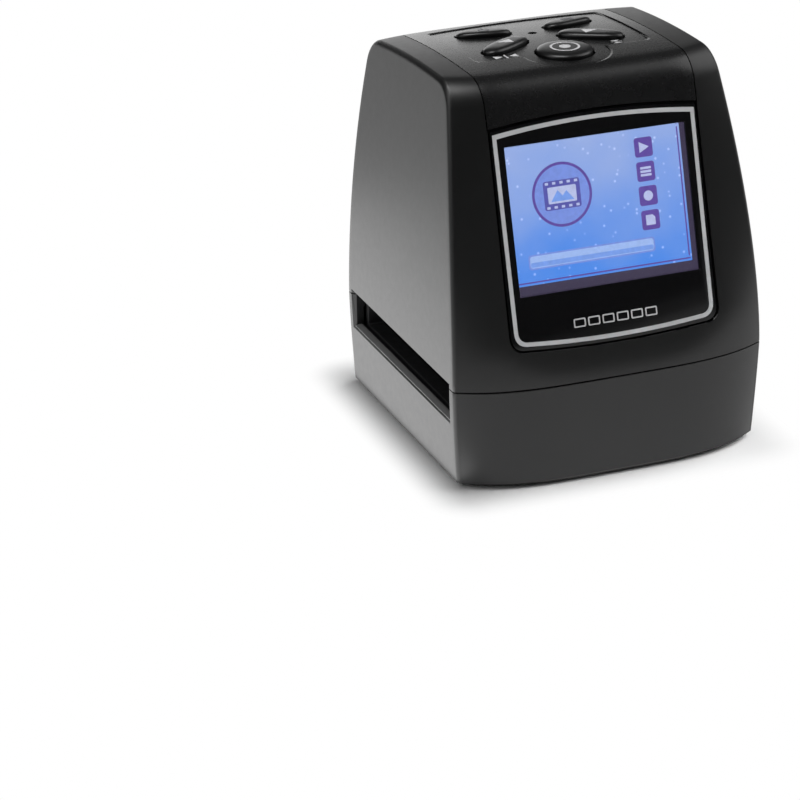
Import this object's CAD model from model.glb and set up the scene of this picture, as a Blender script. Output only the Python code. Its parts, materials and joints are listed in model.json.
import json
import math

import bmesh
import bpy
from bpy.props import FloatProperty, FloatVectorProperty, PointerProperty
from mathutils import Matrix, Vector
from mathutils.bvhtree import BVHTree
from mathutils.interpolate import poly_3d_calc

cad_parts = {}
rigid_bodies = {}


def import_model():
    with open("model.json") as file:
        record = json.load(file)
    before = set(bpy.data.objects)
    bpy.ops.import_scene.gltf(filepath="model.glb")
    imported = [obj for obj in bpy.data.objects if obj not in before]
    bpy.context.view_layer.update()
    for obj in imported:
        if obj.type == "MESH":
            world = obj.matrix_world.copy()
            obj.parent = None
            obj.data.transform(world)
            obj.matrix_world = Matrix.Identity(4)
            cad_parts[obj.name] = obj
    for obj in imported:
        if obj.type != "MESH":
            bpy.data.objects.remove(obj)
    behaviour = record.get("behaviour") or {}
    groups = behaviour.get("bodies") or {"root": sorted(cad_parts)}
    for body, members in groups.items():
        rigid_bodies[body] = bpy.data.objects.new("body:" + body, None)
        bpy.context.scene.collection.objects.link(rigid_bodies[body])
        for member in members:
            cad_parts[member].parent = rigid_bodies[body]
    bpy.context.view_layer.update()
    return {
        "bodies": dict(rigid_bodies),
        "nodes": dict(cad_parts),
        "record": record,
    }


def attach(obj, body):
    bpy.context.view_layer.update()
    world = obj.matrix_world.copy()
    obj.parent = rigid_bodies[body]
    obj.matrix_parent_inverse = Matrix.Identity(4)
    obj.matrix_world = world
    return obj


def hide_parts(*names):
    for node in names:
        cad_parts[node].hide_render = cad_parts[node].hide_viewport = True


bl_info = {
    "name": "Film negative scanner",
    "version": (1, 0, 0),
    "blender": (4, 5, 0),
    "location": "3D View > Sidebar > Scanner",
    "description": "Dressed pieces of a desk scanner for film and slides, built on its packed frame",
    "category": "Object",
}

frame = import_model()

# Lengths of the pieces are in millimetres until piece() turns them into metres
MM = 0.001

# Sizes of the body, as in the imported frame
HALF_WIDTH = 43.15
HALF_DEPTH = 44.5
CROWN = 102.4
CROWN_MIDDLE = -11.0
CROWN_RADIUS = 303.0
PARTING = 27.1
FOOT = 0.8
WALL = 2.0
SEAM = 0.3
BASE_TOP = PARTING - SEAM / 2
UPPER_BOTTOM = PARTING + SEAM / 2
LEAN = math.radians(16.1)
EDGE_RADIUS = 1.6
TOP_RADIUS_FRONT, TOP_RADIUS_BACK = 9.0, 8.0

# Walls of the upper body, set in from the full size: how far at the parting line, how much further at the
# crown, and the power of the curve between them
SIDE = (0.0, 6.35, 1.7)
FRONT_CORNER = (6.6, 18.6, 1.6)
BACK_CORNER = (5.7, 5.1, 2.7)
BACK_MIDDLE = (0.9, 6.0, 2.0)

# How far the front bows out at most, and how much for each millimetre that the leaning plane leaves it
FRONT_BOW, BOW_SHARE = 6.0, 1.37

# Ends of the base, set in: the corner at the foot, the corner and the middle at the parting line
BASE_FRONT = (7.4, 6.6, 0.6)
BASE_BACK = (6.0, 5.7, 0.9)

# How far the sides of the base draw in towards the foot, and the power of that curve
BASE_DRAW, DRAW_POWER = 1.3, 1.4

# A shell is a fine skin round the ribs and bosses of its CAD node
SKIN = 1.2
CORE_INSET = 0.4
BELOW_PARTING = 10.0
ABOVE_PARTING = 40.0
OVERRUN = 4.0

# Planes for flat outlines: the leaning screen, with z out of it, and the upright plane across the body, where
# the second number of a point is its height and the third its place from front to back
SCREEN = Matrix.Translation((0.0, -HALF_DEPTH, PARTING)) @ Matrix.Rotation(math.pi / 2 - LEAN, 4, "X")
UPRIGHT = Matrix(((1, 0, 0, 0), (0, 0, 1, 0), (0, 1, 0, 0), (0, 0, 0, 1)))

# Top cover, bezel and display; a pair is the height at the corner and at the middle of a bowed edge
COVER_HALF = 28.85
COVER_END_Z, COVER_END_DROP = 95.8, 17.6
BEZEL_TOP = (66.8, 68.65)
BEZEL_BOTTOM = (10.0, 9.0)
BEZEL_FACE = -0.3
WINDOW_HALF, WINDOW_TALL, WINDOW_MIDDLE = 25.0, 19.0, 43.0
DISPLAY_FACE = -2.3
DISPLAY_MIDDLE = 43.8

# Panel with the buttons, and the scoop of the card slot
PANEL_X = 0.9
PANEL_HALF = 24.0
PANEL_FRONT, PANEL_BACK = -5.6, 30.4
PANEL_DEPTH = 0.5
PANEL_SINK = 0.3
PANEL_TOP = 0.65
SCAN_Y = -5.92
BUTTON_RISE = 1.64
BUTTON_GAP = 0.45
STEM_RADIUS, STEM_BOTTOM = 1.6, 96.4
LIGHT_Y = 14.9
LIGHT_RADIUS = 1.25
CARD_Z, CARD_SLOT = 87.95, (13.35, 1.55, 0.5)

BUTTONS = {
    # name: x, y, half length, half width, turn in degrees, power of the outline
    "scan": (PANEL_X, SCAN_Y, 7.25, 7.25, 0.0, 2.0),
    "left": (PANEL_X - 12.0, 4.65, 8.6, 3.4, 35.0, 2.5),
    "right": (PANEL_X + 12.0, 4.65, 8.6, 3.4, -35.0, 2.5),
    "power": (PANEL_X - 11.9, 19.5, 7.1, 3.1, -15.0, 2.5),
    "menu": (PANEL_X + 11.9, 19.5, 7.1, 3.1, 15.0, 2.5),
}

# Film slot, and the seats under the base
SLOT_FRONT, SLOT_BACK = -33.6, 34.9
SLOT_LOW, SLOT_HIGH = 17.95, 28.1
SLOT_FLARE, ROOF_SHARE = 0.9, 0.4
FEET = [(x, y) for y in (-30.5, 31.5) for x in (-33.5, 33.5)]
CASE_SCREWS = [(x, y) for y in (-37.6, 38.4) for x in (-28.0, 28.0)]
FOOT_SEAT_RADIUS, FOOT_SEAT_DEPTH = 4.3, 0.9
SCREW_SEAT_RADIUS, SCREW_SEAT_DEPTH = 2.6, 3.4
BELOW_FOOT = -1.0

# Openings in the back of the base; cutters for it reach from inside the wall to well behind it
USB_X, USB_Z, USB_SIZE = -0.5, 9.15, (8.5, 4.7, 1.1)
VIDEO_X, VIDEO_Z, VIDEO_RADIUS = -15.1, 10.3, 2.95
BLANK_X, BLANK_Z, BLANK_WIDTH, BLANK_HEIGHT, BLANK_CORNER = 17.3, 8.2, 13.2, 4.2, 1.3
BACK_INSIDE, BACK_OUTSIDE = 39.0, 60.0

# How deep a printed sign reaches into what carries it
PRINT_ROOT = 0.12


# Form of the body

def wall_at(full, wall, z):
    """How far out a wall of the upper body stands at a height."""
    start, more, power = wall
    return full - start - more * max((z - PARTING) / (CROWN - PARTING), 0.0) ** power


def foot_share(z):
    """The height in the base, from 0 at the foot to 1 at the parting line."""
    return min(max((z - FOOT) / (PARTING - FOOT), 0.0), 1.0)


def foot_chamfer(z):
    return max(2 * FOOT - z, 0.0)


def crown_at(y, inset=0.0):
    return CROWN - inset - (y - CROWN_MIDDLE) ** 2 / (2 * CROWN_RADIUS)


def crown_slope(y):
    return (CROWN_MIDDLE - y) / CROWN_RADIUS


def soft_min(a, b, reach):
    near = max(reach - abs(a - b), 0.0) / reach
    return min(a, b) - near * near * reach / 4


def upper_half_width(z):
    return wall_at(HALF_WIDTH, SIDE, z)


def upper_front(share, z):
    """The bowed front at a share of the half width; the leaning plane of the screen cuts the bow off."""
    plane = HALF_DEPTH - math.tan(LEAN) * (z - PARTING)
    corner = wall_at(HALF_DEPTH, FRONT_CORNER, z)
    bow = min(FRONT_BOW, BOW_SHARE * (plane - corner))
    return -soft_min(plane, corner + bow * (1 - share ** 4), 0.5)


def upper_back(share, z):
    corner, middle = wall_at(HALF_DEPTH, BACK_CORNER, z), wall_at(HALF_DEPTH, BACK_MIDDLE, z)
    return middle - (middle - corner) * share ** 4


def base_half_width(z):
    return HALF_WIDTH - BASE_DRAW * (1 - foot_share(z)) ** DRAW_POWER - foot_chamfer(z)


def base_face(share, z, end):
    """How far the front or the back of the base stands out at a share of the half width."""
    foot_corner, corner, middle = end
    setback = foot_corner + (corner - foot_corner) * foot_share(z)
    inner = middle * foot_share(z)
    return HALF_DEPTH - inner - (setback - inner) * share ** 4 - foot_chamfer(z)


def top_corner(face_at, side, radius, inset):
    """The round corner between a leaning face and the crown; side is -1 in front and 1 behind."""
    start = CROWN - radius
    for _ in range(16):
        slope = face_at(start + 0.5) - face_at(start - 0.5)
        first = math.atan(-side * slope)
        y = face_at(start) - side * radius * math.cos(first)
        tilt = math.atan(crown_slope(y))
        z = crown_at(y - radius * math.sin(tilt), inset) - radius * math.cos(tilt)
        last = math.pi / 2 + side * tilt
        start = z + radius * math.sin(first)

    def point(share):
        angle = first + (last - first) * share
        return y + side * radius * math.cos(angle), z + radius * math.sin(angle)

    return start, point


def wall_levels(bottom, top, count, pull):
    """Heights up a wall, each with how far the wall is pulled in there."""
    levels = [(bottom, pull), (bottom + pull, 0.0)] if pull else [(bottom, 0.0)]
    foot = levels[-1][0]
    return levels + [(foot + (top - foot) * (i / count) ** 1.3, 0.0) for i in range(1, count)]


def upper_profile(share, inset, bottom, fine, pull):
    """The side outline of the upper body, up the front, over the crown and down the back."""
    walls, arcs, crowns = (18, 10, 22) if fine else (7, 5, 8)

    def front_at(z):
        return upper_front(share, z) + inset

    def back_at(z):
        return upper_back(share, z) - inset

    front_radius = max(TOP_RADIUS_FRONT - inset, EDGE_RADIUS)
    back_radius = max(TOP_RADIUS_BACK - inset, EDGE_RADIUS)
    front_start, front_point = top_corner(front_at, -1, front_radius, inset)
    back_start, back_point = top_corner(back_at, 1, back_radius, inset)
    points = [(front_at(z) + p, z) for z, p in wall_levels(bottom, front_start, walls, pull)]
    points += [front_point(i / arcs) for i in range(arcs + 1)]
    low, high = front_point(1.0)[0], back_point(1.0)[0]
    for i in range(1, crowns):
        y = low + (high - low) * i / crowns
        points.append((y, crown_at(y, inset)))
    points += [back_point(i / arcs) for i in range(arcs, -1, -1)]
    points += [(back_at(z) - p, z) for z, p in reversed(wall_levels(bottom, back_start, walls, pull))]
    return points


def base_profile(share, inset, bottom, top, fine, pull):
    """The side outline of the base, up the front and down the back."""
    walls = 14 if fine else 5
    foot = max(2 * FOOT, bottom + 0.3)
    levels = [(bottom, 0.0)]
    levels += [(foot + (top - pull - foot) * i / walls, 0.0) for i in range(walls + 1)]
    if pull:
        levels.append((top, pull))
    up = [(inset - base_face(share, z, BASE_FRONT) + p, z) for z, p in levels]
    down = [(base_face(share, z, BASE_BACK) - inset - p, z) for z, p in reversed(levels)]
    return up + down


# Mesh building

def loft(rings, ends="fill"):
    """A closed solid from rings of points: a grid bent round them. Ends are filled, or joined as a loop."""
    rings = [list(ring) + [ring[0]] for ring in rings]
    if ends == "loop":
        rings.append(rings[0])
    across, along = len(rings[0]) - 1, len(rings) - 1
    bm = bmesh.new()
    bmesh.ops.create_grid(bm, x_segments=across, y_segments=along, size=1.0)
    for vert in bm.verts:
        i = round((vert.co.x + 1) / 2 * across)
        j = round((vert.co.y + 1) / 2 * along)
        vert.co = Vector(rings[j][i])
    bmesh.ops.remove_doubles(bm, verts=bm.verts[:], dist=1e-4)
    bmesh.ops.dissolve_degenerate(bm, dist=1e-4, edges=bm.edges[:])
    rims = [edge for edge in bm.edges if edge.is_boundary]
    if rims:
        bmesh.ops.holes_fill(bm, edges=rims, sides=0)
    bmesh.ops.recalc_face_normals(bm, faces=bm.faces[:])
    return bm


def stack(levels, place=None, ends="fill"):
    """A closed solid from flat outlines, each at its own height over a plane."""
    place = place or Matrix()
    return loft([[place @ Vector((x, y, height)) for x, y in outline] for outline, height in levels], ends)


def prism(outline, low, high, place=None):
    """A straight solid over a flat outline, in its own plane, then put in place."""
    bm = stack(((outline, low), (outline, high)))
    if place:
        bmesh.ops.transform(bm, matrix=place, verts=bm.verts[:])
        bmesh.ops.recalc_face_normals(bm, faces=bm.faces[:])
    return bm


def rod(radius, x, y, low, high, segments=48):
    return prism(ring_outline(x, y, radius, count=segments), low, high)


def box(low, high):
    bm = bmesh.new()
    bmesh.ops.create_cube(bm, size=1.0)
    bmesh.ops.scale(bm, vec=[b - a for a, b in zip(low, high)], verts=bm.verts[:])
    bmesh.ops.translate(bm, vec=[(a + b) / 2 for a, b in zip(low, high)], verts=bm.verts[:])
    return bm


def cross_form(half_width_at, profile_at, inset, fine):
    """A solid from side outlines that stand next to each other across the body, with round side edges."""
    count, edge_steps = (18, 7) if fine else (8, 2)
    radius = max(EDGE_RADIUS - inset, 0.4)
    first = math.radians(20.0)
    stations = [(math.sin(math.pi / 2 * i / count), first) for i in range(count + 1)]
    stations += [(1.0, first + (math.pi / 2 - first) * i / edge_steps) for i in range(1, edge_steps + 1)]

    def ring_at(share, angle, side, draw):
        """One outline; draw pulls it together towards its middle, to close the side."""
        outline = profile_at(share, inset + radius * (math.cos(first) - math.cos(angle)))
        aside = inset + radius * (1 - math.sin(angle))
        ring = []
        for (y, z), other in zip(outline, reversed(outline)):
            y += (other[0] - y) / 2 * draw
            z += (other[1] - z) / 2 * draw
            ring.append(Vector((side * share * (half_width_at(z) - aside), y, z)))
        return ring

    def half(side, stations):
        rings = [ring_at(share, angle, side, 0.0) for share, angle in stations]
        return rings + [ring_at(1.0, math.pi / 2, side, draw) for draw in (0.04, 0.4, 1.0)]

    return loft(half(-1, stations[1:])[::-1] + half(1, stations))


def upper_form(inset, bottom=BELOW_PARTING, fine=True, pull=0.0):
    """The outer form of the upper body with its cover, set in by a distance."""
    return cross_form(
        upper_half_width, lambda share, depth: upper_profile(share, depth, bottom, fine, pull), inset, fine
    )


def base_form(inset, top=ABOVE_PARTING, fine=True, pull=0.0):
    """The outer form of the base, set in by a distance; its foot rises by what it was set in by."""
    bottom = FOOT + inset
    return cross_form(
        base_half_width, lambda share, depth: base_profile(share, depth, bottom, top, fine, pull), inset, fine
    )


def together(*parts):
    """One bmesh that holds several loose ones."""
    whole = parts[0]
    for part in parts[1:]:
        mesh = bpy.data.meshes.new("part")
        part.to_mesh(mesh)
        whole.from_mesh(mesh)
        bpy.data.meshes.remove(mesh)
        part.free()
    return whole


def temporary(bm):
    mesh = bpy.data.meshes.new("form")
    bm.to_mesh(mesh)
    bm.free()
    obj = bpy.data.objects.new("form", mesh)
    bpy.context.scene.collection.objects.link(obj)
    return obj


def carve(solid, *steps):
    """Applies booleans one after the other; each step is an operation and a bmesh, which is used up."""
    obj = temporary(solid)
    helpers = []
    for operation, part in steps:
        helper = temporary(part)
        helper.hide_render = True
        helpers.append(helper)
        boolean = obj.modifiers.new(operation.lower(), "BOOLEAN")
        boolean.operation = operation
        boolean.solver = "MANIFOLD"
        boolean.object = helper
    bpy.context.view_layer.update()
    graph = bpy.context.evaluated_depsgraph_get()
    mesh = bpy.data.meshes.new_from_object(obj.evaluated_get(graph))
    bm = bmesh.new()
    bm.from_mesh(mesh)
    bpy.data.meshes.remove(mesh)
    for used in [obj, *helpers]:
        data = used.data
        bpy.data.objects.remove(used)
        bpy.data.meshes.remove(data)
    if not bm.faces:
        raise RuntimeError("A cut left nothing")
    return bm


def cad_copy(node):
    """A merged copy of a CAD node's mesh, in millimetres."""
    bm = bmesh.new()
    bm.from_mesh(frame["nodes"][node].data)
    bmesh.ops.remove_doubles(bm, verts=bm.verts[:], dist=1e-6)
    bmesh.ops.scale(bm, vec=(1 / MM,) * 3, verts=bm.verts[:])
    return bm


def shell_steps(node, form_at):
    """The first cuts of a shell: its skin is hollowed, and what its CAD node has inside is added."""
    core = carve(cad_copy(node), ("INTERSECT", form_at(CORE_INSET)))
    return ("DIFFERENCE", form_at(SKIN, fine=False)), ("UNION", core)


def borrow_shading(mesh, form, reach=0.03, likeness=0.988):
    """Gives a cut shell the smooth normals of the form it was cut from, wherever its skin is left."""
    uncut = bpy.data.meshes.new("uncut")
    form.to_mesh(uncut)
    form.free()
    uncut.shade_smooth()
    uncut.set_sharp_from_angle(angle=math.radians(30.0))
    places = [vert.co.copy() for vert in uncut.vertices]
    smooth = [corner.vector.copy() for corner in uncut.corner_normals]
    tree = BVHTree.FromPolygons(places, [face.vertices[:] for face in uncut.polygons])
    normals = [corner.vector.copy() for corner in mesh.corner_normals]
    for face in mesh.polygons:
        for index in face.loop_indices:
            corner = mesh.vertices[mesh.loops[index].vertex_index].co
            spot, direction, near, gap = tree.find_nearest(corner.lerp(face.center, 0.02))
            if gap > reach or direction.dot(face.normal) < likeness:
                continue
            skin = uncut.polygons[near]
            shares = poly_3d_calc([places[v] for v in skin.vertices], spot)
            mixed = Vector((0, 0, 0))
            for share, loop in zip(shares, skin.loop_indices):
                mixed += share * smooth[loop]
            normals[index] = mixed.normalized()
    mesh.normals_split_custom_set(normals)
    bpy.data.meshes.remove(uncut)


def piece(name, bm, finish, body="case", nodes=(), angle=30.0, bevel=0.0, form=None):
    """Turns a bmesh in millimetres into a finished piece that rides on a body.

    The finish is a material or one of FINISHES; the slot is the finish's own name where none is given.
    """
    mesh = bpy.data.meshes.new(name)
    bm.to_mesh(mesh)
    bm.free()
    mesh.materials.append(finish_of(finish) if isinstance(finish, str) else finish)
    mesh.shade_smooth()
    mesh.set_sharp_from_angle(angle=math.radians(angle))
    if form:
        borrow_shading(mesh, form)
    mesh.transform(Matrix.Scale(MM, 4))
    obj = bpy.data.objects.new(name, mesh)
    bpy.context.scene.collection.objects.link(obj)
    if bevel:
        rounding = obj.modifiers.new("edges", "BEVEL")
        rounding.width = bevel * MM
        rounding.segments = 2
        rounding.limit_method = "ANGLE"
        rounding.angle_limit = math.radians(35.0)
    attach(obj, body)
    if nodes:
        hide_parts(*nodes)


def dress(node, finish, bevel):
    """A merged copy of a CAD node with rounded edges, which stands for it."""
    body = next(key for key, obj in frame["bodies"].items() if frame["nodes"][node].parent == obj)
    piece(node + "_piece", cad_copy(node), finish, body=body, nodes=[node], bevel=bevel)


# Outlines

def quad(start, pull, end, count):
    """Points along a quadratic curve, without its last one."""
    points = []
    for i in range(count):
        t = i / count
        a, b, c = (1 - t) ** 2, 2 * t * (1 - t), t * t
        points.append((a * start[0] + b * pull[0] + c * end[0], a * start[1] + b * pull[1] + c * end[1]))
    return points


def arc(x, y, radius, first, last, count, drop=None):
    """Points along a circle between two angles in degrees, with the last one; drop makes an ellipse of it."""
    points = []
    for i in range(count + 1):
        angle = math.radians(first + (last - first) * i / count)
        points.append((x + radius * math.cos(angle), y + (drop or radius) * math.sin(angle)))
    return points


def ring_outline(x, y, radius, count=48):
    return arc(x, y, radius, 0, 360, count)[:-1]


def rounded(x, y, half_x, half_y, radius):
    """A rectangle with round corners."""
    points = []
    for side_x, side_y, first in ((1, 1, 0), (-1, 1, 90), (-1, -1, 180), (1, -1, 270)):
        middle_x, middle_y = x + side_x * (half_x - radius), y + side_y * (half_y - radius)
        points += arc(middle_x, middle_y, radius, first, first + 90, 4)
    return points


def chamfered(x, y, width, height, corner):
    """A rectangle with slanting corners."""
    w, h = width / 2, height / 2
    return [
        (x + w, y - h + corner), (x + w, y + h - corner), (x + w - corner, y + h), (x - w + corner, y + h),
        (x - w, y + h - corner), (x - w, y - h + corner), (x - w + corner, y - h), (x + w - corner, y - h),
    ]


def cover_space(grow):
    """The room of the top cover: over the screen and the crown, with a half-round end on the back."""
    reach, top = COVER_HALF + grow, CROWN + OVERRUN
    corner, pull = BEZEL_TOP[0] - grow, 2 * BEZEL_TOP[1] - BEZEL_TOP[0] - grow
    front = quad((-reach, corner), (0, pull), (reach, corner), 40)
    front += [(reach, corner), (reach, top), (-reach, top)]
    back = [(reach, top), (-reach, top)]
    back += arc(0, COVER_END_Z, reach, 180, 360, 72, COVER_END_DROP + grow)
    return carve(
        prism(front, -HALF_DEPTH, OVERRUN, SCREEN),
        ("UNION", prism(back, -12.0, HALF_DEPTH + OVERRUN, UPRIGHT)),
    )


def screen_outline(half_top, half_bottom, top, bottom, radius, inset=0.0):
    """The outline of the bezel and of the line on it: bowed above and below, round corners below."""
    half_top, half_bottom, radius = half_top - inset, half_bottom - inset, radius - inset
    top_corner_y, top_middle = (v - inset for v in top)
    low, bottom_middle = (v + inset for v in bottom)
    turn, end = low + radius, half_bottom - radius
    points = quad((-end, low), (0, 2 * bottom_middle - low), (end, low), 24)
    points += quad((end, low), (half_bottom, low), (half_bottom, turn), 10)
    points += [(half_bottom, turn)]
    points += quad((half_top, top_corner_y), (0, 2 * top_middle - top_corner_y), (-half_top, top_corner_y), 24)
    points += [(-half_top, top_corner_y)]
    points += quad((-half_bottom, turn), (-half_bottom, low), (-end, low), 10)
    return points


def bezel_outline(inset):
    return screen_outline(COVER_HALF, 29.2, BEZEL_TOP, BEZEL_BOTTOM, 4.6, inset)


def line_outline(inset):
    return screen_outline(27.8, 27.7, (65.4, 67.2), (11.5, 10.4), 4.0, inset)


def window_outline(grow, radius=0.3):
    return rounded(0, WINDOW_MIDDLE, WINDOW_HALF + grow, WINDOW_TALL + grow, radius)


def button_outline(name, grow, count=72):
    x, y, length, width, turn, power = BUTTONS[name]
    angle = math.radians(turn)
    points = []
    for i in range(count):
        step = 2 * math.pi * i / count
        c, s = math.cos(step), math.sin(step)
        along = (length + grow) * math.copysign(abs(c) ** (2 / power), c)
        across = (width + grow) * math.copysign(abs(s) ** (2 / power), s)
        points.append((
            x + along * math.cos(angle) - across * math.sin(angle),
            y + along * math.sin(angle) + across * math.cos(angle),
        ))
    return points


def panel_outline(grow):
    """The outline of the sunk panel, with its round bay for the scan button."""
    left, right = PANEL_X - PANEL_HALF - grow, PANEL_X + PANEL_HALF + grow
    front, back, corner = PANEL_FRONT - grow, PANEL_BACK + grow, 2.0
    turn, end = back - 2 * corner, back - corner
    bay_y, bay = SCAN_Y - 0.7, 11.4 + grow
    mouth = math.degrees(math.acos((front - bay_y) / bay))
    points = quad((left, front + corner), (left, front), (left + corner, front), 8)
    points += arc(PANEL_X, bay_y, bay, 90 + mouth, 450 - mouth, 40)
    points += quad((right - corner, front), (right, front), (right, front + corner), 8)
    points += quad((right, turn), (right, end), (right - corner, end), 8)
    points += quad((right - corner, end), (PANEL_X, back + corner), (left + corner, end), 20)
    points += quad((left + corner, end), (left, end), (left, turn), 8)
    return points + [(left, turn)]


def crown_plane(x, y, z):
    """The plane that touches the slope of the crown, raised or sunk to a height."""
    return Matrix.Translation((x, y, z)) @ Matrix.Rotation(math.atan(crown_slope(y)), 4, "X")


def crown_stack(levels, middle):
    """A solid from flat outlines that are laid on the slope of the crown at one y; its walls are upright."""
    slope = crown_slope(middle)
    return loft([[(x, y, height + slope * (y - middle)) for x, y in outline] for outline, height in levels])


# Materials

def set_inputs(tree, node, inputs):
    """Gives inputs of a node their values, or joins them to an output; a node stands for its first output."""
    for key, value in inputs.items():
        if isinstance(value, bpy.types.Node):
            value = value.outputs[0]
        if isinstance(value, bpy.types.NodeSocket):
            tree.links.new(value, node.inputs[key])
        else:
            node.inputs[key].default_value = value


def add_node(tree, kind, x, y, inputs=None, **values):
    node = tree.nodes.new("ShaderNode" + kind)
    node.location = (x, y)
    for key, value in values.items():
        setattr(node, key, value)
    set_inputs(tree, node, inputs or {})
    return node


def start_material(name):
    """A material with its shader, its output and centred object coordinates."""
    material = bpy.data.materials.new(name)
    material.use_nodes = True
    tree = material.node_tree
    tree.nodes.clear()
    shader = add_node(tree, "BsdfPrincipled", 600, 0)
    add_node(tree, "OutputMaterial", 900, 0, {"Surface": shader})
    place = add_node(tree, "TexCoord", -900, 0)
    mapping = add_node(tree, "Mapping", -700, 0, {"Vector": place.outputs["Object"]})
    return material, tree, shader, mapping


def noise(tree, mapping, scale, detail, x, y):
    return add_node(tree, "TexNoise", x, y, {"Vector": mapping, "Scale": scale, "Detail": detail})


def map_range(tree, source, reach, result, x, y, **values):
    """Turns one range of a value into another."""
    (low, high), (first, last) = reach, result
    inputs = {"Value": source, "From Min": low, "From Max": high, "To Min": first, "To Max": last}
    return add_node(tree, "MapRange", x, y, inputs, **values)


def colour_ramp(tree, source, colours, x, y, reach=(0.0, 1.0)):
    """Turns a value into a colour between two."""
    node = add_node(tree, "ValToRGB", x, y, {"Fac": source})
    for stop, position, colour in zip(node.color_ramp.elements, reach, colours):
        stop.position = position
        stop.color = (*[min(c, 1) for c in colour], 1)
    return node


# The middle of a noise, where nearly all its values lie
NOISE_REACH = (0.3, 0.7)


def moulded(name, colour, rough, spread=0.05, tint=0.12, grain=3500.0, relief=0.15, cloud=70.0, **sockets):
    """Moulded plastic or rubber: a fine grain, slow changes of shade and of gloss."""
    material, tree, shader, mapping = start_material(name)
    shades = [[c * (1 - tint) for c in colour], [c * (1 + tint) for c in colour]]
    slow = noise(tree, mapping, cloud, 3.0, -450, 250)
    gloss = noise(tree, mapping, cloud * 7, 4.0, -450, 0)
    fine = noise(tree, mapping, grain, 2.0, -450, -250)
    gloss_range = (max(rough - spread, 0.0), min(rough + spread, 1.0))
    set_inputs(tree, shader, {
        "Base Color": colour_ramp(tree, slow, shades, -200, 250, NOISE_REACH),
        "Roughness": map_range(tree, gloss, NOISE_REACH, gloss_range, -200, 0),
        "Normal": add_node(tree, "Bump", 200, -250, {"Strength": relief, "Distance": 0.00008, "Height": fine}),
        **{key.replace("_", " "): value for key, value in sockets.items()},
    })
    return material


def clear_window(name, colour):
    """Clear plastic or glass with a faint uneven film on it."""
    material, tree, shader, mapping = start_material(name)
    film = noise(tree, mapping, 45.0, 3.0, -450, 0)
    set_inputs(tree, shader, {
        "Base Color": (*colour, 1),
        "Transmission Weight": 1.0,
        "IOR": 1.49,
        "Roughness": map_range(tree, film, NOISE_REACH, (0.0, 0.04), -200, 0),
    })
    return material


# The display where it gives no light
UNLIT = (0.01, 0.01, 0.015, 1)


def display_picture(name, top, bottom):
    """The lit ground of the display: a soft change of colour with light clouds and faint stars."""
    material, tree, shader, mapping = start_material(name)
    low_edge, height = 0.052, 0.036
    mapping.inputs["Location"].default_value = (0, 0, -low_edge)
    split = add_node(tree, "SeparateXYZ", -450, 200, {"Vector": mapping})
    up = map_range(tree, split.outputs["Z"], (0.0, height), (0.0, 1.0), -250, 200)
    clouds = noise(tree, mapping, 60.0, 3.0, -450, -50)
    swirl = add_node(tree, "Math", -50, 100, {0: clouds, 1: 0.9, 2: up}, operation="MULTIPLY_ADD")
    shift = add_node(tree, "Math", 100, 100, {0: swirl, 1: 0.45}, operation="SUBTRACT")
    ramp = colour_ramp(tree, shift, (bottom, top), 250, 100)
    stars = add_node(tree, "TexVoronoi", -450, -300, {"Scale": 420.0, "Vector": mapping})
    spark = map_range(tree, stars.outputs["Distance"], (0.2, 0.05), (0.0, 0.5), -200, -300)
    lit = add_node(tree, "Mix", 420, 0, data_type="RGBA", blend_type="ADD")
    set_inputs(tree, lit, {"Factor": spark, "A": ramp, "B": (0.5, 0.5, 0.5, 1)})
    set_inputs(tree, shader, {
        "Emission Color": lit.outputs["Result"],
        "Emission Strength": 1.0,
        "Base Color": UNLIT,
        "Roughness": 0.3,
    })
    return material


def lit_sign(name, colour):
    """A lit part of the picture, a little uneven as a display's dots are."""
    material, tree, shader, mapping = start_material(name)
    dots = noise(tree, mapping, 900.0, 1.0, -450, 0)
    shades = [[c * 0.85 for c in colour], [c * 1.1 for c in colour]]
    glow = colour_ramp(tree, dots, shades, -200, 0)
    set_inputs(tree, shader, {"Emission Color": glow, "Emission Strength": 1.0, "Base Color": UNLIT})
    return material


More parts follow.
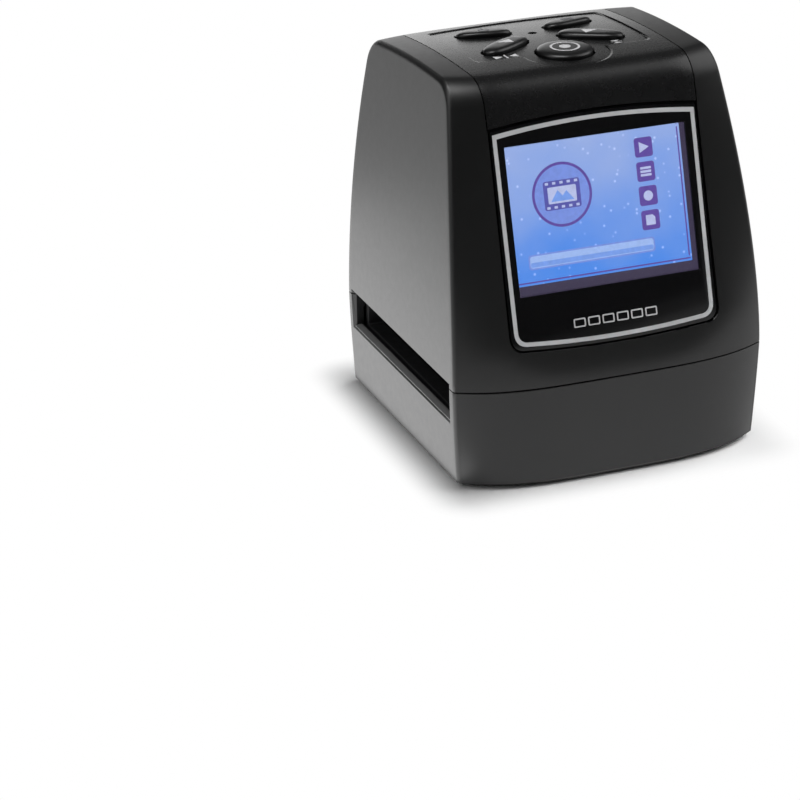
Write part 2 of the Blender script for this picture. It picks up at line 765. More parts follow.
# How each finish is made; c holds the colours and the gloss that are settings
FINISHES = {
    "housing_plastic": lambda c: moulded(
        "satin_black_shell", c.shell, c.shell_gloss, 0.015, 0.08, relief=0.12, IOR=1.52),
    "base_plastic": lambda c: moulded(
        "satin_black_base", c.base, c.shell_gloss + 0.03, 0.015, 0.08, relief=0.12, IOR=1.52),
    "ledge_plastic": lambda c: moulded("satin_black_ledge", (0.3, 0.3, 0.303), 0.45, 0.02, 0.08),
    "cover_plastic": lambda c: moulded(
        "satin_black_cover", c.cover, c.cover_gloss, 0.01, 0.08, relief=0.02, IOR=1.5),
    "button_plastic": lambda c: moulded("button_black", c.buttons, 0.3, 0.03, 0.06, relief=0.08),
    "inner_plastic": lambda c: moulded("inner_black", (0.012, 0.012, 0.013), 0.55),
    "gloss_black": lambda c: moulded("gloss_black_bezel", c.bezel, 0.12, 0.02, 0.05, relief=0.01, IOR=1.4),
    "clear_window": lambda c: clear_window("clear_window", (1.0, 1.0, 1.0)),
    "white_plastic": lambda c: moulded("white_plastic", (0.75, 0.75, 0.73), 0.4),
    "milky_plastic": lambda c: moulded("milky_plastic", (0.82, 0.83, 0.84), 0.5, Subsurface_Weight=0.2),
    "circuit_board": lambda c: moulded(
        "board_green", (0.012, 0.09, 0.03), 0.35, 0.08, 0.35, 900.0, 0.3, 400.0),
    "steel": lambda c: moulded("steel", (0.42, 0.42, 0.41), 0.38, 0.08, 0.1, 2500.0, 0.1, Metallic=1.0),
    "bright_steel": lambda c: moulded(
        "bright_steel", (0.62, 0.61, 0.6), 0.26, 0.06, 0.08, 2500.0, 0.08, Metallic=1.0),
    "copper_flex": lambda c: moulded("copper_flex", (0.42, 0.16, 0.04), 0.35, 0.06, 0.15),
    "grey_cable": lambda c: moulded("grey_cable", (0.35, 0.35, 0.36), 0.5, 0.06, 0.1),
    "black_rubber": lambda c: moulded("black_rubber", (0.016, 0.016, 0.016), 0.75, 0.05, 0.15, 1800.0, 0.4),
    "chip_black": lambda c: moulded("chip_black", (0.014, 0.014, 0.015), 0.5),
    "green_light": lambda c: moulded("status_light", (0.02, 0.03, 0.022), 0.15, 0.02, Coat_Weight=0.5),
    "optical_glass": lambda c: clear_window("optical_glass", (0.9, 0.97, 1.0)),
    "printed_white": lambda c: moulded("printed_white", c.prints, 0.5, 0.05, 0.06, relief=0.05),
    "faint_print": lambda c: moulded("faint_print", c.faint_prints, 0.5, 0.05, 0.06, relief=0.05),
    "silver_line": lambda c: moulded("silver_line", c.line, 0.4, 0.05, 0.08, relief=0.05, Metallic=0.1),
}

# Names of the materials that are made so far, by finish
MADE = {}


def finish_of(key):
    """The material of a finish, made once in each file."""
    material = bpy.data.materials.get(MADE.get(key, ""))
    if not material:
        material = FINISHES[key](bpy.context.scene.scanner_colours)
        MADE[key] = material.name
    return material


# Settings

class ScannerSizes(bpy.types.PropertyGroup):
    """Sizes of the details that Blender adds to the frame"""

    edge_pull: FloatProperty(
        name="Parting edge", description="How far the edges at the parting line are pulled in, in millimetres",
        default=0.14, min=0.05, max=0.6,
    )
    button_dome: FloatProperty(
        name="Button dome", description="Height of the round top of a button, in millimetres",
        default=1.15, min=0.3, max=1.4,
    )
    hole_flare: FloatProperty(
        name="Hole flare", description="Width of the slant at the mouth of a hole, in millimetres",
        default=0.22, min=0.0, max=0.5,
    )
    line_width: FloatProperty(
        name="Line width", description="Width of the silver line on the bezel, in millimetres",
        default=1.08, min=0.3, max=2.0,
    )
    print_relief: FloatProperty(
        name="Print thickness", description="How far printed signs stand out, in millimetres",
        default=0.03, min=0.01, max=0.2,
    )
    camera_lens: FloatProperty(
        name="Lens", description="Focal length of the camera",
        default=150.13, unit="CAMERA",
    )


class ScannerColours(bpy.types.PropertyGroup):
    """Colours and gloss of the finishes"""

    shell: FloatVectorProperty(
        name="Shell", description="Plastic of the upper housing",
        default=(0.005, 0.0051, 0.0053), subtype="COLOR", min=0, max=1,
    )
    base: FloatVectorProperty(
        name="Base", description="Plastic of the base",
        default=(0.009, 0.0091, 0.0094), subtype="COLOR", min=0, max=1,
    )
    cover: FloatVectorProperty(
        name="Cover", description="Plastic of the top cover",
        default=(0.007, 0.0071, 0.0074), subtype="COLOR", min=0, max=1,
    )
    buttons: FloatVectorProperty(
        name="Buttons", description="Plastic of the buttons",
        default=(0.006, 0.0061, 0.0064), subtype="COLOR", min=0, max=1,
    )
    bezel: FloatVectorProperty(
        name="Bezel", description="Gloss plastic round the display",
        default=(0.004, 0.004, 0.0045), subtype="COLOR", min=0, max=1,
    )
    line: FloatVectorProperty(
        name="Line", description="Silver line on the bezel",
        default=(0.62, 0.63, 0.64), subtype="COLOR", min=0, max=1,
    )
    prints: FloatVectorProperty(
        name="Prints", description="White signs",
        default=(0.6, 0.6, 0.61), subtype="COLOR", min=0, max=1,
    )
    faint_prints: FloatVectorProperty(
        name="Faint prints", description="Grey signs on the rear buttons",
        default=(0.1, 0.1, 0.11), subtype="COLOR", min=0, max=1,
    )
    display_top: FloatVectorProperty(
        name="Display above", description="Colour of the picture above",
        default=(0.33, 0.45, 0.82), subtype="COLOR", min=0, max=1,
    )
    display_bottom: FloatVectorProperty(
        name="Display below", description="Colour of the picture below",
        default=(0.08, 0.27, 0.85), subtype="COLOR", min=0, max=1,
    )
    shell_gloss: FloatProperty(
        name="Shell roughness", description="Roughness of the housing",
        default=0.38, subtype="FACTOR", min=0, max=1,
    )
    cover_gloss: FloatProperty(
        name="Cover roughness", description="Roughness of the top cover",
        default=0.27, subtype="FACTOR", min=0, max=1,
    )
    floor: FloatVectorProperty(
        name="Floor", description="Colour of the floor",
        default=(0.92, 0.92, 0.92), subtype="COLOR", min=0, max=1,
    )


def sizes():
    return bpy.context.scene.scanner_sizes


# Pieces

class SCANNER_OT_camera(bpy.types.Operator):
    """Adds the camera at the photograph's angle"""

    bl_idname = "scanner.camera"
    bl_label = "Camera"

    def execute(self, context):
        data = bpy.data.cameras.new("camera")
        data.lens = sizes().camera_lens
        data.sensor_width = 36.0
        data.clip_start = 0.05
        data.clip_end = 20.0
        camera = bpy.data.objects.new("camera", data)
        context.scene.collection.objects.link(camera)
        right = Vector((0.9312754, -0.3640741, -0.0132727))
        up = Vector((0.1583250, 0.3716346, 0.9147792))
        ahead = Vector((0.3281148, 0.8540127, -0.4037362))
        place = Matrix((right, up, -ahead)).transposed().to_4x4()
        place.translation = Vector((-331.70, -750.75, 365.03)) * MM
        camera.matrix_world = place
        context.scene.camera = camera
        return {"FINISHED"}


def slot_cutter():
    """The film slot right through the body, with a slant at both its mouths."""
    outside, face, straight = 54.0, 43.2, 42.0
    rings = []
    for x in (-outside, -face, -straight, straight, face, outside):
        grow = 0.0 if abs(x) == straight else SLOT_FLARE
        front, back = SLOT_FRONT - grow, SLOT_BACK + grow
        low, high = SLOT_LOW - grow, SLOT_HIGH + grow * ROOF_SHARE
        rings.append([(x, front, low), (x, back, low), (x, back, high), (x, front, high)])
    return loft(rings)


def blank_slits():
    """The slits round the knock-out blank, with four tabs left."""
    x, z, slit, tab, near, far = BLANK_X, BLANK_Z, 0.5, 1.2, BACK_INSIDE - 9, BACK_OUTSIDE + 10
    outer = chamfered(x, z, BLANK_WIDTH, BLANK_HEIGHT, BLANK_CORNER)
    inner = chamfered(x, z, BLANK_WIDTH - 2 * slit, BLANK_HEIGHT - 2 * slit, BLANK_CORNER)
    return carve(
        prism(outer, BACK_INSIDE + 0.9, BACK_OUTSIDE, UPRIGHT),
        ("DIFFERENCE", prism(inner, near, far, UPRIGHT)),
        ("DIFFERENCE", box((x - tab / 2, near, z - 10), (x + tab / 2, far, z + 10))),
        ("DIFFERENCE", box((x - 20, near, z - tab / 2), (x + 20, far, z + tab / 2))),
    )


class SCANNER_OT_base_housing(bpy.types.Operator):
    """Builds the base with its film slot, sockets and blank"""

    bl_idname = "scanner.base_housing"
    bl_label = "Base housing"

    def execute(self, context):
        skin = base_form(0.0, BASE_TOP, pull=sizes().edge_pull)
        form = skin.copy()
        foot_seats = [rod(FOOT_SEAT_RADIUS, x, y, BELOW_FOOT, FOOT + FOOT_SEAT_DEPTH) for x, y in FEET]
        screw_seats = [
            rod(SCREW_SEAT_RADIUS, x, y, BELOW_FOOT, FOOT + SCREW_SEAT_DEPTH) for x, y in CASE_SCREWS
        ]
        mouths = [
            prism(outline, BACK_INSIDE, BACK_OUTSIDE, UPRIGHT)
            for outline in (chamfered(USB_X, USB_Z, *USB_SIZE), ring_outline(VIDEO_X, VIDEO_Z, VIDEO_RADIUS))
        ]
        solid = carve(
            skin,
            *shell_steps("base_housing", base_form),
            ("DIFFERENCE", together(slot_cutter(), *foot_seats, *screw_seats, *mouths)),
            ("DIFFERENCE", blank_slits()),
        )
        piece("base_shell", solid, "base_plastic", nodes=["base_housing"], form=form)
        return {"FINISHED"}


class SCANNER_OT_slot_ledges(bpy.types.Operator):
    """Builds the ledges that lead the film holder into the slot"""

    bl_idname = "scanner.slot_ledges"
    bl_label = "Slot ledges"

    def execute(self, context):
        section = ((40.6, 17.8), (42.5, 17.8), (42.5, 17.97), (41.4, 18.2), (40.6, 18.2))
        ledges = []
        for side in (-1, 1):
            outline = [(side * x, z) for x, z in section]
            ledges.append(prism(outline, SLOT_FRONT + 0.1, SLOT_BACK - 0.1, UPRIGHT))
        piece("slot_ledges", together(*ledges), "ledge_plastic")
        return {"FINISHED"}


class SCANNER_OT_upper_housing(bpy.types.Operator):
    """Builds the upper housing with the pocket of the bezel"""

    bl_idname = "scanner.upper_housing"
    bl_label = "Upper housing"

    def execute(self, context):
        skin = upper_form(0.0, UPPER_BOTTOM, pull=sizes().edge_pull)
        form = skin.copy()
        seam = carve(cover_space(SEAM / 2), ("DIFFERENCE", upper_form(WALL + 0.25, fine=False)))
        solid = carve(
            skin,
            *shell_steps("upper_housing", upper_form),
            ("DIFFERENCE", seam),
            ("DIFFERENCE", prism(bezel_outline(0.0), -2.0, OVERRUN, SCREEN)),
            ("DIFFERENCE", slot_cutter()),
        )
        piece("upper_shell", solid, "housing_plastic", nodes=["upper_housing"], form=form)
        return {"FINISHED"}


class SCANNER_OT_top_cover(bpy.types.Operator):
    """Builds the top cover with its sunk panel, button holes and scoop"""

    bl_idname = "scanner.top_cover"
    bl_label = "Top cover"

    def execute(self, context):
        skin, scoop = upper_form(0.0, UPPER_BOTTOM), self.scoop()
        scoop_wall = scoop.copy()
        bmesh.ops.reverse_faces(scoop_wall, faces=scoop_wall.faces[:])
        form = together(skin.copy(), upper_form(PANEL_SINK), scoop_wall)
        inside_cover = 90.0
        light_hole = rod(LIGHT_RADIUS, PANEL_X, LIGHT_Y, inside_cover, CROWN + 1)
        solid = carve(
            skin,
            *shell_steps("top_cover", upper_form),
            ("INTERSECT", cover_space(-SEAM / 2)),
            ("DIFFERENCE", self.sunk_panel()),
            ("DIFFERENCE", together(*self.button_holes(), light_hole)),
            ("DIFFERENCE", scoop),
            ("DIFFERENCE", prism(rounded(0, CARD_Z, *CARD_SLOT), 10.0, BACK_OUTSIDE, UPRIGHT)),
        )
        piece(
            "cover_shell", solid, "cover_plastic", nodes=["top_cover"], angle=9.0, form=form
        )
        return {"FINISHED"}

    def sunk_panel(self):
        """The room over the sunk panel, with a shallow slant round it."""
        inside_cover = 92.0
        rows = [[(x, y, inside_cover) for x, y in panel_outline(0.0)]]
        for grow, depth in ((0.0, PANEL_SINK), (0.03, 0.13), (0.6, -0.005), (PANEL_TOP, -0.4)):
            rows.append([(x, y, crown_at(y, depth)) for x, y in panel_outline(grow)])
        rows.append([(x, y, CROWN + OVERRUN) for x, y in panel_outline(PANEL_TOP)])
        return carve(loft(rows), ("DIFFERENCE", upper_form(PANEL_SINK)))

    def button_holes(self):
        flare = sizes().hole_flare
        wide = BUTTON_GAP + flare
        holes = []
        for name, (x, y, *_) in BUTTONS.items():
            face = crown_at(y, PANEL_SINK)
            levels = ((BUTTON_GAP, -10.0), (BUTTON_GAP, -flare), (wide, 0.0), (wide + 1.0, 1.0))
            holes.append(crown_stack([(button_outline(name, grow), face + up) for grow, up in levels], y))
        return holes

    def scoop(self):
        """A flattened ball that cuts the dished mouth of the card slot, 2 mm deep."""
        half_x, half_z, ball, deep = 18.5, 7.2, 6.0, 2.0
        spread = 1 / math.sqrt(1 - ((ball - deep) / ball) ** 2)
        dish = bmesh.new()
        bmesh.ops.create_uvsphere(dish, u_segments=96, v_segments=48, radius=1.0)
        bmesh.ops.scale(dish, vec=(half_x * spread, ball, half_z * spread), verts=dish.verts[:])
        bmesh.ops.translate(dish, vec=(0, upper_back(0.0, CARD_Z) + ball - deep, CARD_Z), verts=dish.verts[:])
        return dish


def sign(place, outer, inner=None, height=0.0):
    """A thin printed shape on a plane, or a printed frame between two outlines with as many points each."""
    low, high = height - PRINT_ROOT, height + sizes().print_relief
    if inner:
        return stack(((outer, low), (outer, high), (inner, high), (inner, low)), place, "loop")
    return prism(outer, low, high, place)


def print_signs(name, parts, finish="printed_white", body="case"):
    piece(name, together(*parts), finish, body)


class SCANNER_OT_bezel(bpy.types.Operator):
    """Builds the gloss bezel, its silver line and its small sign"""

    bl_idname = "scanner.bezel"
    bl_label = "Bezel"

    def execute(self, context):
        plate = stack([
            (bezel_outline(inset), height)
            for inset, height in ((0.55, -1.7), (0.55, -0.5), (0.61, -0.36), (0.75, BEZEL_FACE))
        ], SCREEN)
        hole = stack([
            (window_outline(grow, 0.3 + grow), height)
            for grow, height in ((0.0, -3.0), (0.0, -0.42), (0.12, BEZEL_FACE), (1.0, 0.58))
        ], SCREEN)
        piece("bezel_plate", carve(plate, ("DIFFERENCE", hole)), "gloss_black", nodes=["screen_bezel"])

        outer, inner = line_outline(0.0), line_outline(sizes().line_width)
        top, bottom = BEZEL_FACE + 0.05, BEZEL_FACE - 0.2
        line = stack(((outer, bottom), (outer, top), (inner, top), (inner, bottom)), SCREEN, "loop")
        piece("silver_line", line, "silver_line")

        frames = []
        first, pitch, y = -9.6, 3.98, 15.45
        for x in (first + pitch * k for k in range(6)):
            outer, inner = rounded(x, y, 1.65, 1.15, 0.35), rounded(x, y, 1.3, 0.8, 0.2)
            frames.append(sign(SCREEN, outer, inner, BEZEL_FACE))
        print_signs("film_sign", frames)
        return {"FINISHED"}


class SCANNER_OT_display(bpy.types.Operator):
    """Builds the window, the display and its picture"""

    bl_idname = "scanner.display"
    bl_label = "Display"

    def execute(self, context):
        looks = context.scene.scanner_colours
        window = stack([
            (window_outline(grow), height)
            for grow, height in ((-0.3, -1.35), (-0.15, -1.2), (-0.15, -0.47), (-0.27, -0.35))
        ], SCREEN)
        piece("window", window, "clear_window", nodes=["screen_window"])
        edge = lit_sign("display_edge", (0.05, 0.04, 0.08))
        piece("display_panel", cad_copy("lcd_panel"), edge, nodes=["lcd_panel"], bevel=0.15)
        picture = display_picture("display_picture", looks.display_top, looks.display_bottom)
        ground = rounded(-0.3, DISPLAY_MIDDLE + 0.5, 24.2, 17.8, 0.2)
        ground = prism(ground, DISPLAY_FACE - 0.2, DISPLAY_FACE + 0.02, SCREEN)
        piece("picture_ground", ground, picture)
        self.menu()
        return {"FINISHED"}

    def menu(self):
        """Plain signs of a scanner's menu, in a layout of their own."""
        colours = {
            "white": (0.5, 0.56, 0.85),
            "violet": (0.12, 0.07, 0.36),
            "deep": (0.1, 0.1, 0.42),
            "sky": (0.2, 0.36, 0.86),
            "pale": (0.36, 0.52, 0.95),
            "rose": (0.2, 0.3, 0.78),
        }
        lit = {key: lit_sign("lit_" + key, value) for key, value in colours.items()}
        ground = DISPLAY_FACE + 0.02

        # A round sign with a strip of film, and a hill in its picture
        x, y = -10.0, DISPLAY_MIDDLE + 4.4
        holes = [
            rounded(x - 4.0 + 2.0 * k, y + side * 3.05, 0.45, 0.32, 0.1) for k in range(5) for side in (-1, 1)
        ]
        holes.append(rounded(x, y, 3.9, 2.1, 0.3))
        hill = [(x + a, y + b) for a, b in ((-3.2, -1.6), (3.2, -1.6), (1.2, 0.9), (0.1, -0.3), (-1.2, 1.2))]

        # A row of keys down the right side: play, list, record and card
        right, step = 13.5, 6.2
        first, second, third, fourth = (DISPLAY_MIDDLE + 13.2 - step * k for k in range(4))
        keys = [rounded(right, v, 2.5, 2.5, 0.7) for v in (first, second, third, fourth)]
        marks = [[(12.3, first - 1.4), (15.0, first), (12.3, first + 1.4)]]
        marks += [rounded(right, second + up, 1.5, 0.3, 0.1) for up in (0.9, 0.0, -0.9)]
        marks.append(ring_outline(right, third, 1.3, count=24))
        card = ((12.2, -1.3), (14.8, -1.3), (14.8, 0.6), (14.1, 1.3), (12.2, 1.3))
        marks.append([(u, fourth + v) for u, v in card])

        bar_x, bar_y = -3.5, DISPLAY_MIDDLE - 11.6
        edges = [
            rounded(-0.3, DISPLAY_MIDDLE - 16.6, 23.8, 0.18, 0.1),
            rounded(23.2, DISPLAY_MIDDLE + 0.6, 0.18, 16.6, 0.1),
        ]
        for name, colour, height, outlines in (
            ("menu_disc_rim", "violet", 0.02, [ring_outline(x, y, 8.2, count=64)]),
            ("menu_disc", "rose", 0.04, [ring_outline(x, y, 7.5, count=64)]),
            ("menu_film", "deep", 0.06, [rounded(x, y, 5.0, 3.7, 0.6)]),
            ("menu_film_frame", "white", 0.08, holes),
            ("menu_hill", "sky", 0.1, [hill]),
            ("menu_keys", "violet", 0.03, keys),
            ("menu_marks", "white", 0.05, marks),
            ("menu_bar", "rose", 0.03, [rounded(bar_x, bar_y, 17.5, 1.9, 0.8)]),
            ("menu_bar_light", "pale", 0.05, [rounded(bar_x, bar_y, 17.1, 1.5, 0.7)]),
            ("menu_bar_shade", "sky", 0.07, [rounded(bar_x, bar_y - 0.7, 17.0, 0.6, 0.5)]),
            ("menu_edge", "violet", 0.03, edges),
        ):
            parts = [prism(outline, ground - 0.01, ground + height, SCREEN) for outline in outlines]
            piece(name, together(*parts), lit[colour])


class SCANNER_OT_buttons(bpy.types.Operator):
    """Builds the five buttons with their signs"""

    bl_idname = "scanner.buttons"
    bl_label = "Buttons"

    def execute(self, context):
        dome = sizes().button_dome
        for name, (x, y, *_) in BUTTONS.items():
            top = crown_at(y, PANEL_DEPTH) + BUTTON_RISE
            inside = crown_at(y, WALL) - 0.3
            skirt = ((0.7, inside - 1.0), (0.7, inside - 0.1), (0.6, inside), (0.0, inside), (0.0, top - dome))
            levels = [(button_outline(name, grow), z) for grow, z in skirt]
            edge = button_outline(name, 0.0)
            for share in (0.9985, 0.994, 0.985, 0.97, 0.945, 0.905, 0.85, 0.77, 0.66, 0.5, 0.3, 0.12):
                outline = [(x + (px - x) * share, y + (py - y) * share) for px, py in edge]
                levels.append((outline, top - dome + dome * (1 - share ** 5) ** (1 / 2.3)))
            stem = rod(STEM_RADIUS, x, y, STEM_BOTTOM, inside - 0.5, segments=32)
            solid = carve(crown_stack(levels, y), ("UNION", stem))
            key = name + "_key"
            piece(name + "_cap", solid, "button_plastic", body=key, nodes=[name + "_button"], angle=40.0)
            parts, finish = self.button_sign(name, crown_plane(x, y, top))
            print_signs(name + "_sign", parts, finish, key)
        return {"FINISHED"}

    def button_sign(self, name, place):
        if name == "scan":
            ring = sign(place, ring_outline(0, 0, 3.9, count=56), ring_outline(0, 0, 3.3, count=56), -0.02)
            return [ring, sign(place, ring_outline(0, 0, 1.5, count=32))], "printed_white"
        if name in ("left", "right"):
            side = -1 if name == "left" else 1
            arrow = [(side * 2.3, 0.5), (-side * 1.9, 2.2), (-side * 1.9, -1.2)]
            return [sign(place, arrow, height=-0.01)], "printed_white"
        if name == "power":
            ring = arc(0, 0, 1.5, 125, 415, 24) + arc(0, 0, 1.15, 415, 125, 24)
            return [sign(place, ring), sign(place, rounded(0, 1.2, 0.18, 0.8, 0.1))], "faint_print"
        return [sign(place, rounded(0, up, 1.6, 0.2, 0.1)) for up in (-0.9, 0.0, 0.9)], "faint_print"


class SCANNER_OT_signs(bpy.types.Operator):
    """Builds the printed signs of the cover and of the back"""

    bl_idname = "scanner.signs"
    bl_label = "Signs"

    def execute(self, context):
        parts = []
        for x, y, turn, along, across in ((-14.4, -3.45, 0, 1.1, 1.1), (16.5, -3.4, 90, 0.43, 1.1)):
            place = crown_plane(x, y, crown_at(y, PANEL_SINK)) @ Matrix.Rotation(math.radians(turn), 4, "Z")
            place = place @ Matrix.Diagonal((along, across, 1, 1))
            for side in (-1, 1):
                arrow = [(side * 0.8, 0), (side * 2.9, -side * 1.2), (side * 2.9, side * 1.2)]
                parts.append(sign(place, arrow))
            parts.append(sign(place, rounded(0, 0, 0.2, 1.4, 0.05)))
        print_signs("mirror_signs", parts)

        card = self.back_place(0.0, 67.4)
        outer = [(-2.2, -2.9), (2.2, -2.9), (2.2, 2.9), (-1.0, 2.9), (-2.2, 1.7)]
        inner = [(-1.85, -2.55), (1.85, -2.55), (1.85, 2.55), (-0.85, 2.55), (-1.85, 1.55)]
        row = self.back_place(0.0, 73.8)
        usb = self.back_place(USB_X, 14.9)
        video = self.back_place(VIDEO_X, 15.6)
        print_signs("back_signs", [
            sign(card, outer, inner),
            sign(card, rounded(0, -1.1, 0.95, 0.8, 0.2), rounded(0, -1.1, 0.65, 0.5, 0.1)),
            *[sign(card, rounded(x, 1.6, 0.18, 0.5, 0.05)) for x in (-0.4, 0.3, 1.0)],
            *[sign(row, rounded(x, 0, 0.75, 0.22, 0.1)) for x in range(-6, 7, 2)],
            sign(usb, rounded(0, 0, 1.9, 0.16, 0.05)),
            sign(usb, ring_outline(-1.9, 0, 0.45, count=20)),
            sign(usb, [(2.6, 0), (1.7, 0.5), (1.7, -0.5)]),
            sign(video, rounded(0, 0, 1.35, 0.95, 0.2), rounded(0, 0, 1.1, 0.7, 0.1)),
        ])
        return {"FINISHED"}

    def back_place(self, x, z):
        """The plane that lies on the back of the body at one place."""
        def at(px, pz):
            if z > PARTING:
                return Vector((px, upper_back(abs(px) / upper_half_width(pz), pz), pz))
            return Vector((px, base_face(abs(px) / base_half_width(pz), pz, BASE_BACK), pz))

        up = (at(x, z + 0.5) - at(x, z - 0.5)).normalized()
        across = (at(x - 0.5, z) - at(x + 0.5, z)).normalized()
        place = Matrix((across, up, across.cross(up).normalized())).transposed().to_4x4()
        place.translation = at(x, z)
        return place


def slot_of(node):
    """The material slot of a CAD node."""
    for part in frame["record"]["subparts"]:
        if part.get("node", part.get("name")) == node:
            return part["material_slot"]
    raise RuntimeError("The record has no subpart " + node)


class SCANNER_OT_sockets(bpy.types.Operator):
    """Dresses the card socket, the two ports and the status light"""

    bl_idname = "scanner.sockets"
    bl_label = "Sockets and light"

    def execute(self, context):
        for node, bevel in (
            ("card_socket", 0.12), ("usb_socket", 0.1), ("usb_tongue", 0.08), ("tv_jack", 0.15),
            ("status_light", 0.2),
        ):
            dress(node, slot_of(node), bevel)
        first, pitch, half = -8.9, 2.25, 0.5
        contacts = [
            box((x - half, 26.0, 86.6), (x + half, 33.6, 86.9)) for x in (first + pitch * k for k in range(9))
        ]
        piece("card_contacts", together(*contacts), "bright_steel", bevel=0.08)
        section = ((13.33, 1.53, 34.2), (13.33, 1.53, 36.9), (12.5, 1.25, 36.9), (12.4, 1.2, 34.2))
        mouth = [(rounded(0, CARD_Z, half_x, half_z, 0.4), y) for half_x, half_z, y in section]
        piece("card_mouth", stack(mouth, UPRIGHT, "loop"), "inner_plastic")
        return {"FINISHED"}


class SCANNER_OT_film_path(bpy.types.Operator):
    """Dresses the film guides, the click-stop pin, the feet and the screws"""

    bl_idname = "scanner.film_path"
    bl_label = "Film path, feet and screws"

    def execute(self, context):
        dress("lower_film_guide", "inner_plastic", 0.2)
        dress("upper_film_guide", "inner_plastic", 0.2)
        dress("detent_pin", "bright_steel", 0.1)
        piece("spring_low", self.coil(9.98, 11.0, 1.5), "steel", nodes=["detent_spring"])
        piece("spring_high", self.coil(12.35, 12.92, 1.0), "steel", body="detent")
        for corner in ("left_front", "left_back", "right_front", "right_back"):
            dress("foot_" + corner, "black_rubber", 0.3)
            dress("housing_screw_" + corner, "steel", 0.1)
        return {"FINISHED"}

    def coil(self, low, high, turns):
        """Turns of the spring under the click-stop pin; its upper turns ride on the pin."""
        wire, reach, steps = 0.18, 1.65, round(turns * 20)
        rings = []
        for k in range(steps + 1):
            turn = 2 * math.pi * turns * k / steps
            out = Vector((math.cos(turn), math.sin(turn), 0))
            middle = Vector((0, -26, low + (high - low) * k / steps)) + out * reach
            rings.append([
                middle + out * wire * math.cos(a) + Vector((0, 0, wire * math.sin(a)))
                for a in (math.pi * j / 4 for j in range(8))
            ])
        return loft(rings)


class SCANNER_OT_inner_parts(bpy.types.Operator):
    """Gives every CAD node that still shows its finish"""

    bl_idname = "scanner.inner_parts"
    bl_label = "Inner parts"

    def execute(self, context):
        for name, obj in frame["nodes"].items():
            if obj.hide_render:
                continue
            material = finish_of(slot_of(name))
            if not obj.data.materials:
                obj.data.materials.append(material)
            for holder in obj.material_slots:
                holder.material = material
        return {"FINISHED"}


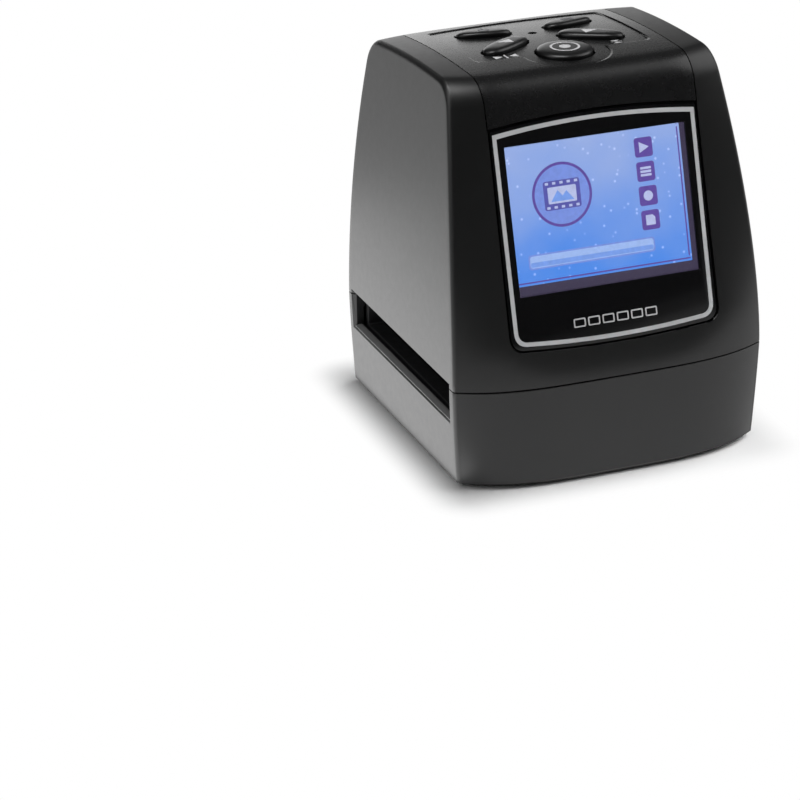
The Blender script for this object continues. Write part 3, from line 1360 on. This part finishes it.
class SCANNER_OT_stage(bpy.types.Operator):
    """Adds the floor, the soft lights and the pale world"""

    bl_idname = "scanner.stage"
    bl_label = "Stage"

    def execute(self, context):
        self.floor(context)
        self.world(context)
        for name, toward, width, power, diffuse, glossy in (
            ("soft_right", (0.85, 0.0, 0.7), 0.9, 2.8, True, False),
            ("edge_right", (0.85, 0.0, 0.7), 0.9, 1.0, True, True),
            ("soft_left", (-0.85, -0.1, 0.6), 0.9, 0.7, True, True),
            ("overhead", (-0.2, 0.05, 1.0), 0.6, 1.6, False, True),
        ):
            light = self.light(context, name, "SUN", power)
            light.data.angle = width
            light.rotation_euler = Vector(toward).to_track_quat("Z", "Y").to_euler()
            light.visible_diffuse, light.visible_glossy = diffuse, glossy
        self.table_light(context)
        return {"FINISHED"}

    def light(self, context, name, kind, power):
        data = bpy.data.lights.new(name, kind)
        data.energy = power
        light = bpy.data.objects.new(name, data)
        context.scene.collection.objects.link(light)
        return light

    def table_light(self, context):
        """A glowing panel that lies on the floor behind the object, to its left."""
        panel = self.light(context, "table_light", "AREA", 0.0875)
        panel.data.shape = "RECTANGLE"
        panel.data.size, panel.data.size_y = 0.08, 0.245
        panel.location = (-0.0826, 0.0745, 0.0015)
        panel.rotation_euler = (math.pi, 0, 0)
        panel.visible_camera = False

    def floor(self, context):
        """A pale floor that is seen white away from the object, and keeps the object's shadow close to it."""
        bm = bmesh.new()
        bmesh.ops.create_grid(bm, x_segments=8, y_segments=8, size=4.0)
        mesh = bpy.data.meshes.new("floor")
        bm.to_mesh(mesh)
        bm.free()
        floor = bpy.data.objects.new("floor", mesh)
        context.scene.collection.objects.link(floor)
        material, tree, shader, mapping = start_material("pale_floor")
        colour = context.scene.scanner_colours.floor
        cloud = noise(tree, mapping, 3.0, 2.0, -450, 200)
        shades = colour_ramp(tree, cloud, ([c * 0.98 for c in colour], colour), -200, 200)
        set_inputs(tree, shader, {"Roughness": 0.9, "Base Color": shades})
        path = add_node(tree, "LightPath", 200, 300).outputs
        from_camera, from_gloss, from_glass = (
            path["Is Camera Ray"], path["Is Glossy Ray"], path["Is Transmission Ray"]
        )

        # How far a point lies outside the object's foot, in metres
        foot = (0.04, 0.0425, 0.0)
        sides = add_node(tree, "VectorMath", -450, 500, {0: mapping}, operation="ABSOLUTE")
        past = add_node(tree, "VectorMath", -300, 500, {0: sides, 1: foot}, operation="SUBTRACT")
        outside = add_node(tree, "VectorMath", -150, 500, {0: past}, operation="MAXIMUM")
        far = add_node(tree, "VectorMath", 0, 500, {0: outside}, operation="LENGTH").outputs["Value"]

        # The camera sees white past the shadow, and gloss and glass see it everywhere but under the object
        clear = map_range(tree, far, (0.0, 0.014), (0.0, 1.0), 200, 500, interpolation_type="SMOOTHSTEP")
        seen = add_node(tree, "Math", 400, 300, {0: from_camera, 1: clear}, operation="MULTIPLY")
        mirrored = add_node(tree, "Math", 400, 450, {0: from_gloss, 1: from_glass}, operation="MAXIMUM")
        under = map_range(tree, far, (0.0, 0.004), (0.0, 1.0), 400, 650)
        shown = add_node(tree, "Math", 600, 550, {0: mirrored, 1: under}, operation="MULTIPLY")
        both = add_node(tree, "Math", 600, 400, {0: seen, 1: shown}, operation="MAXIMUM")

        # In front of the object the floor is mirrored darker
        split = add_node(tree, "SeparateXYZ", -100, -300, {"Vector": mapping})
        front = map_range(tree, split.outputs["Y"], (-0.4, -0.12), (0.8, 0.0), 100, -300)
        dim = add_node(tree, "Math", 250, -300, {0: front, 1: from_gloss}, operation="MULTIPLY")
        power = add_node(tree, "Math", 400, -300, {0: 1.0, 1: dim}, operation="SUBTRACT")
        glow = add_node(tree, "Emission", 600, -300, {"Strength": power})

        mix = add_node(tree, "MixShader", 800, 100, {"Fac": both, 1: shader, 2: glow})
        output = next(node for node in tree.nodes if node.type == "OUTPUT_MATERIAL")
        output.location = (1000, 0)
        set_inputs(tree, output, {"Surface": mix})
        mesh.materials.append(material)

    def world(self, context):
        """A dim room with a bright wall far behind the object; the camera sees white."""
        world = bpy.data.worlds.new("pale_room")
        context.scene.world = world
        world.use_nodes = True
        tree = world.node_tree
        tree.nodes.clear()
        place = add_node(tree, "TexCoord", -700, 100)
        wall = {0: place.outputs["Generated"], 1: Vector((0.2, 0.97, 0.0)).normalized()}
        toward = add_node(tree, "VectorMath", -500, 100, wall, operation="DOT_PRODUCT").outputs["Value"]
        soft = map_range(tree, toward, (0.925, 1.0), (0.06, 1.9), -300, 100, interpolation_type="SMOOTHSTEP")
        room = add_node(tree, "Background", 100, 100, {"Strength": soft, "Color": (1, 1, 1, 1)})
        white = add_node(tree, "Background", 100, -100, {"Color": (1, 1, 1, 1)})
        path = add_node(tree, "LightPath", 100, 400)
        mix = add_node(tree, "MixShader", 400, 0, {"Fac": path.outputs["Is Camera Ray"], 1: room, 2: white})
        add_node(tree, "OutputWorld", 600, 0, {"Surface": mix})


OPERATORS = (
    SCANNER_OT_camera,
    SCANNER_OT_base_housing,
    SCANNER_OT_slot_ledges,
    SCANNER_OT_upper_housing,
    SCANNER_OT_top_cover,
    SCANNER_OT_bezel,
    SCANNER_OT_display,
    SCANNER_OT_buttons,
    SCANNER_OT_signs,
    SCANNER_OT_sockets,
    SCANNER_OT_film_path,
    SCANNER_OT_inner_parts,
    SCANNER_OT_stage,
)


class SCANNER_PT_panel(bpy.types.Panel):
    """Lists the settings and the steps"""

    bl_idname = "SCANNER_PT_panel"
    bl_label = "Film negative scanner"
    bl_space_type = "VIEW_3D"
    bl_region_type = "UI"
    bl_category = "Scanner"

    def draw(self, context):
        layout = self.layout
        for group in (context.scene.scanner_sizes, context.scene.scanner_colours):
            column = layout.column()
            for key in group.__annotations__:
                column.prop(group, key)
        for operator in OPERATORS:
            layout.operator(operator.bl_idname)


CLASSES = (ScannerSizes, ScannerColours, *OPERATORS, SCANNER_PT_panel)


def register():
    for cls in CLASSES:
        bpy.utils.register_class(cls)
    bpy.types.Scene.scanner_sizes = PointerProperty(type=ScannerSizes)
    bpy.types.Scene.scanner_colours = PointerProperty(type=ScannerColours)


def unregister():
    del bpy.types.Scene.scanner_colours
    del bpy.types.Scene.scanner_sizes
    for cls in reversed(CLASSES):
        bpy.utils.unregister_class(cls)


def main():
    register()
    bpy.context.scene.view_settings.view_transform = "Standard"
    for operator in OPERATORS:
        group, step = operator.bl_idname.split(".")
        getattr(getattr(bpy.ops, group), step)()


if __name__ == "__main__":
    main()
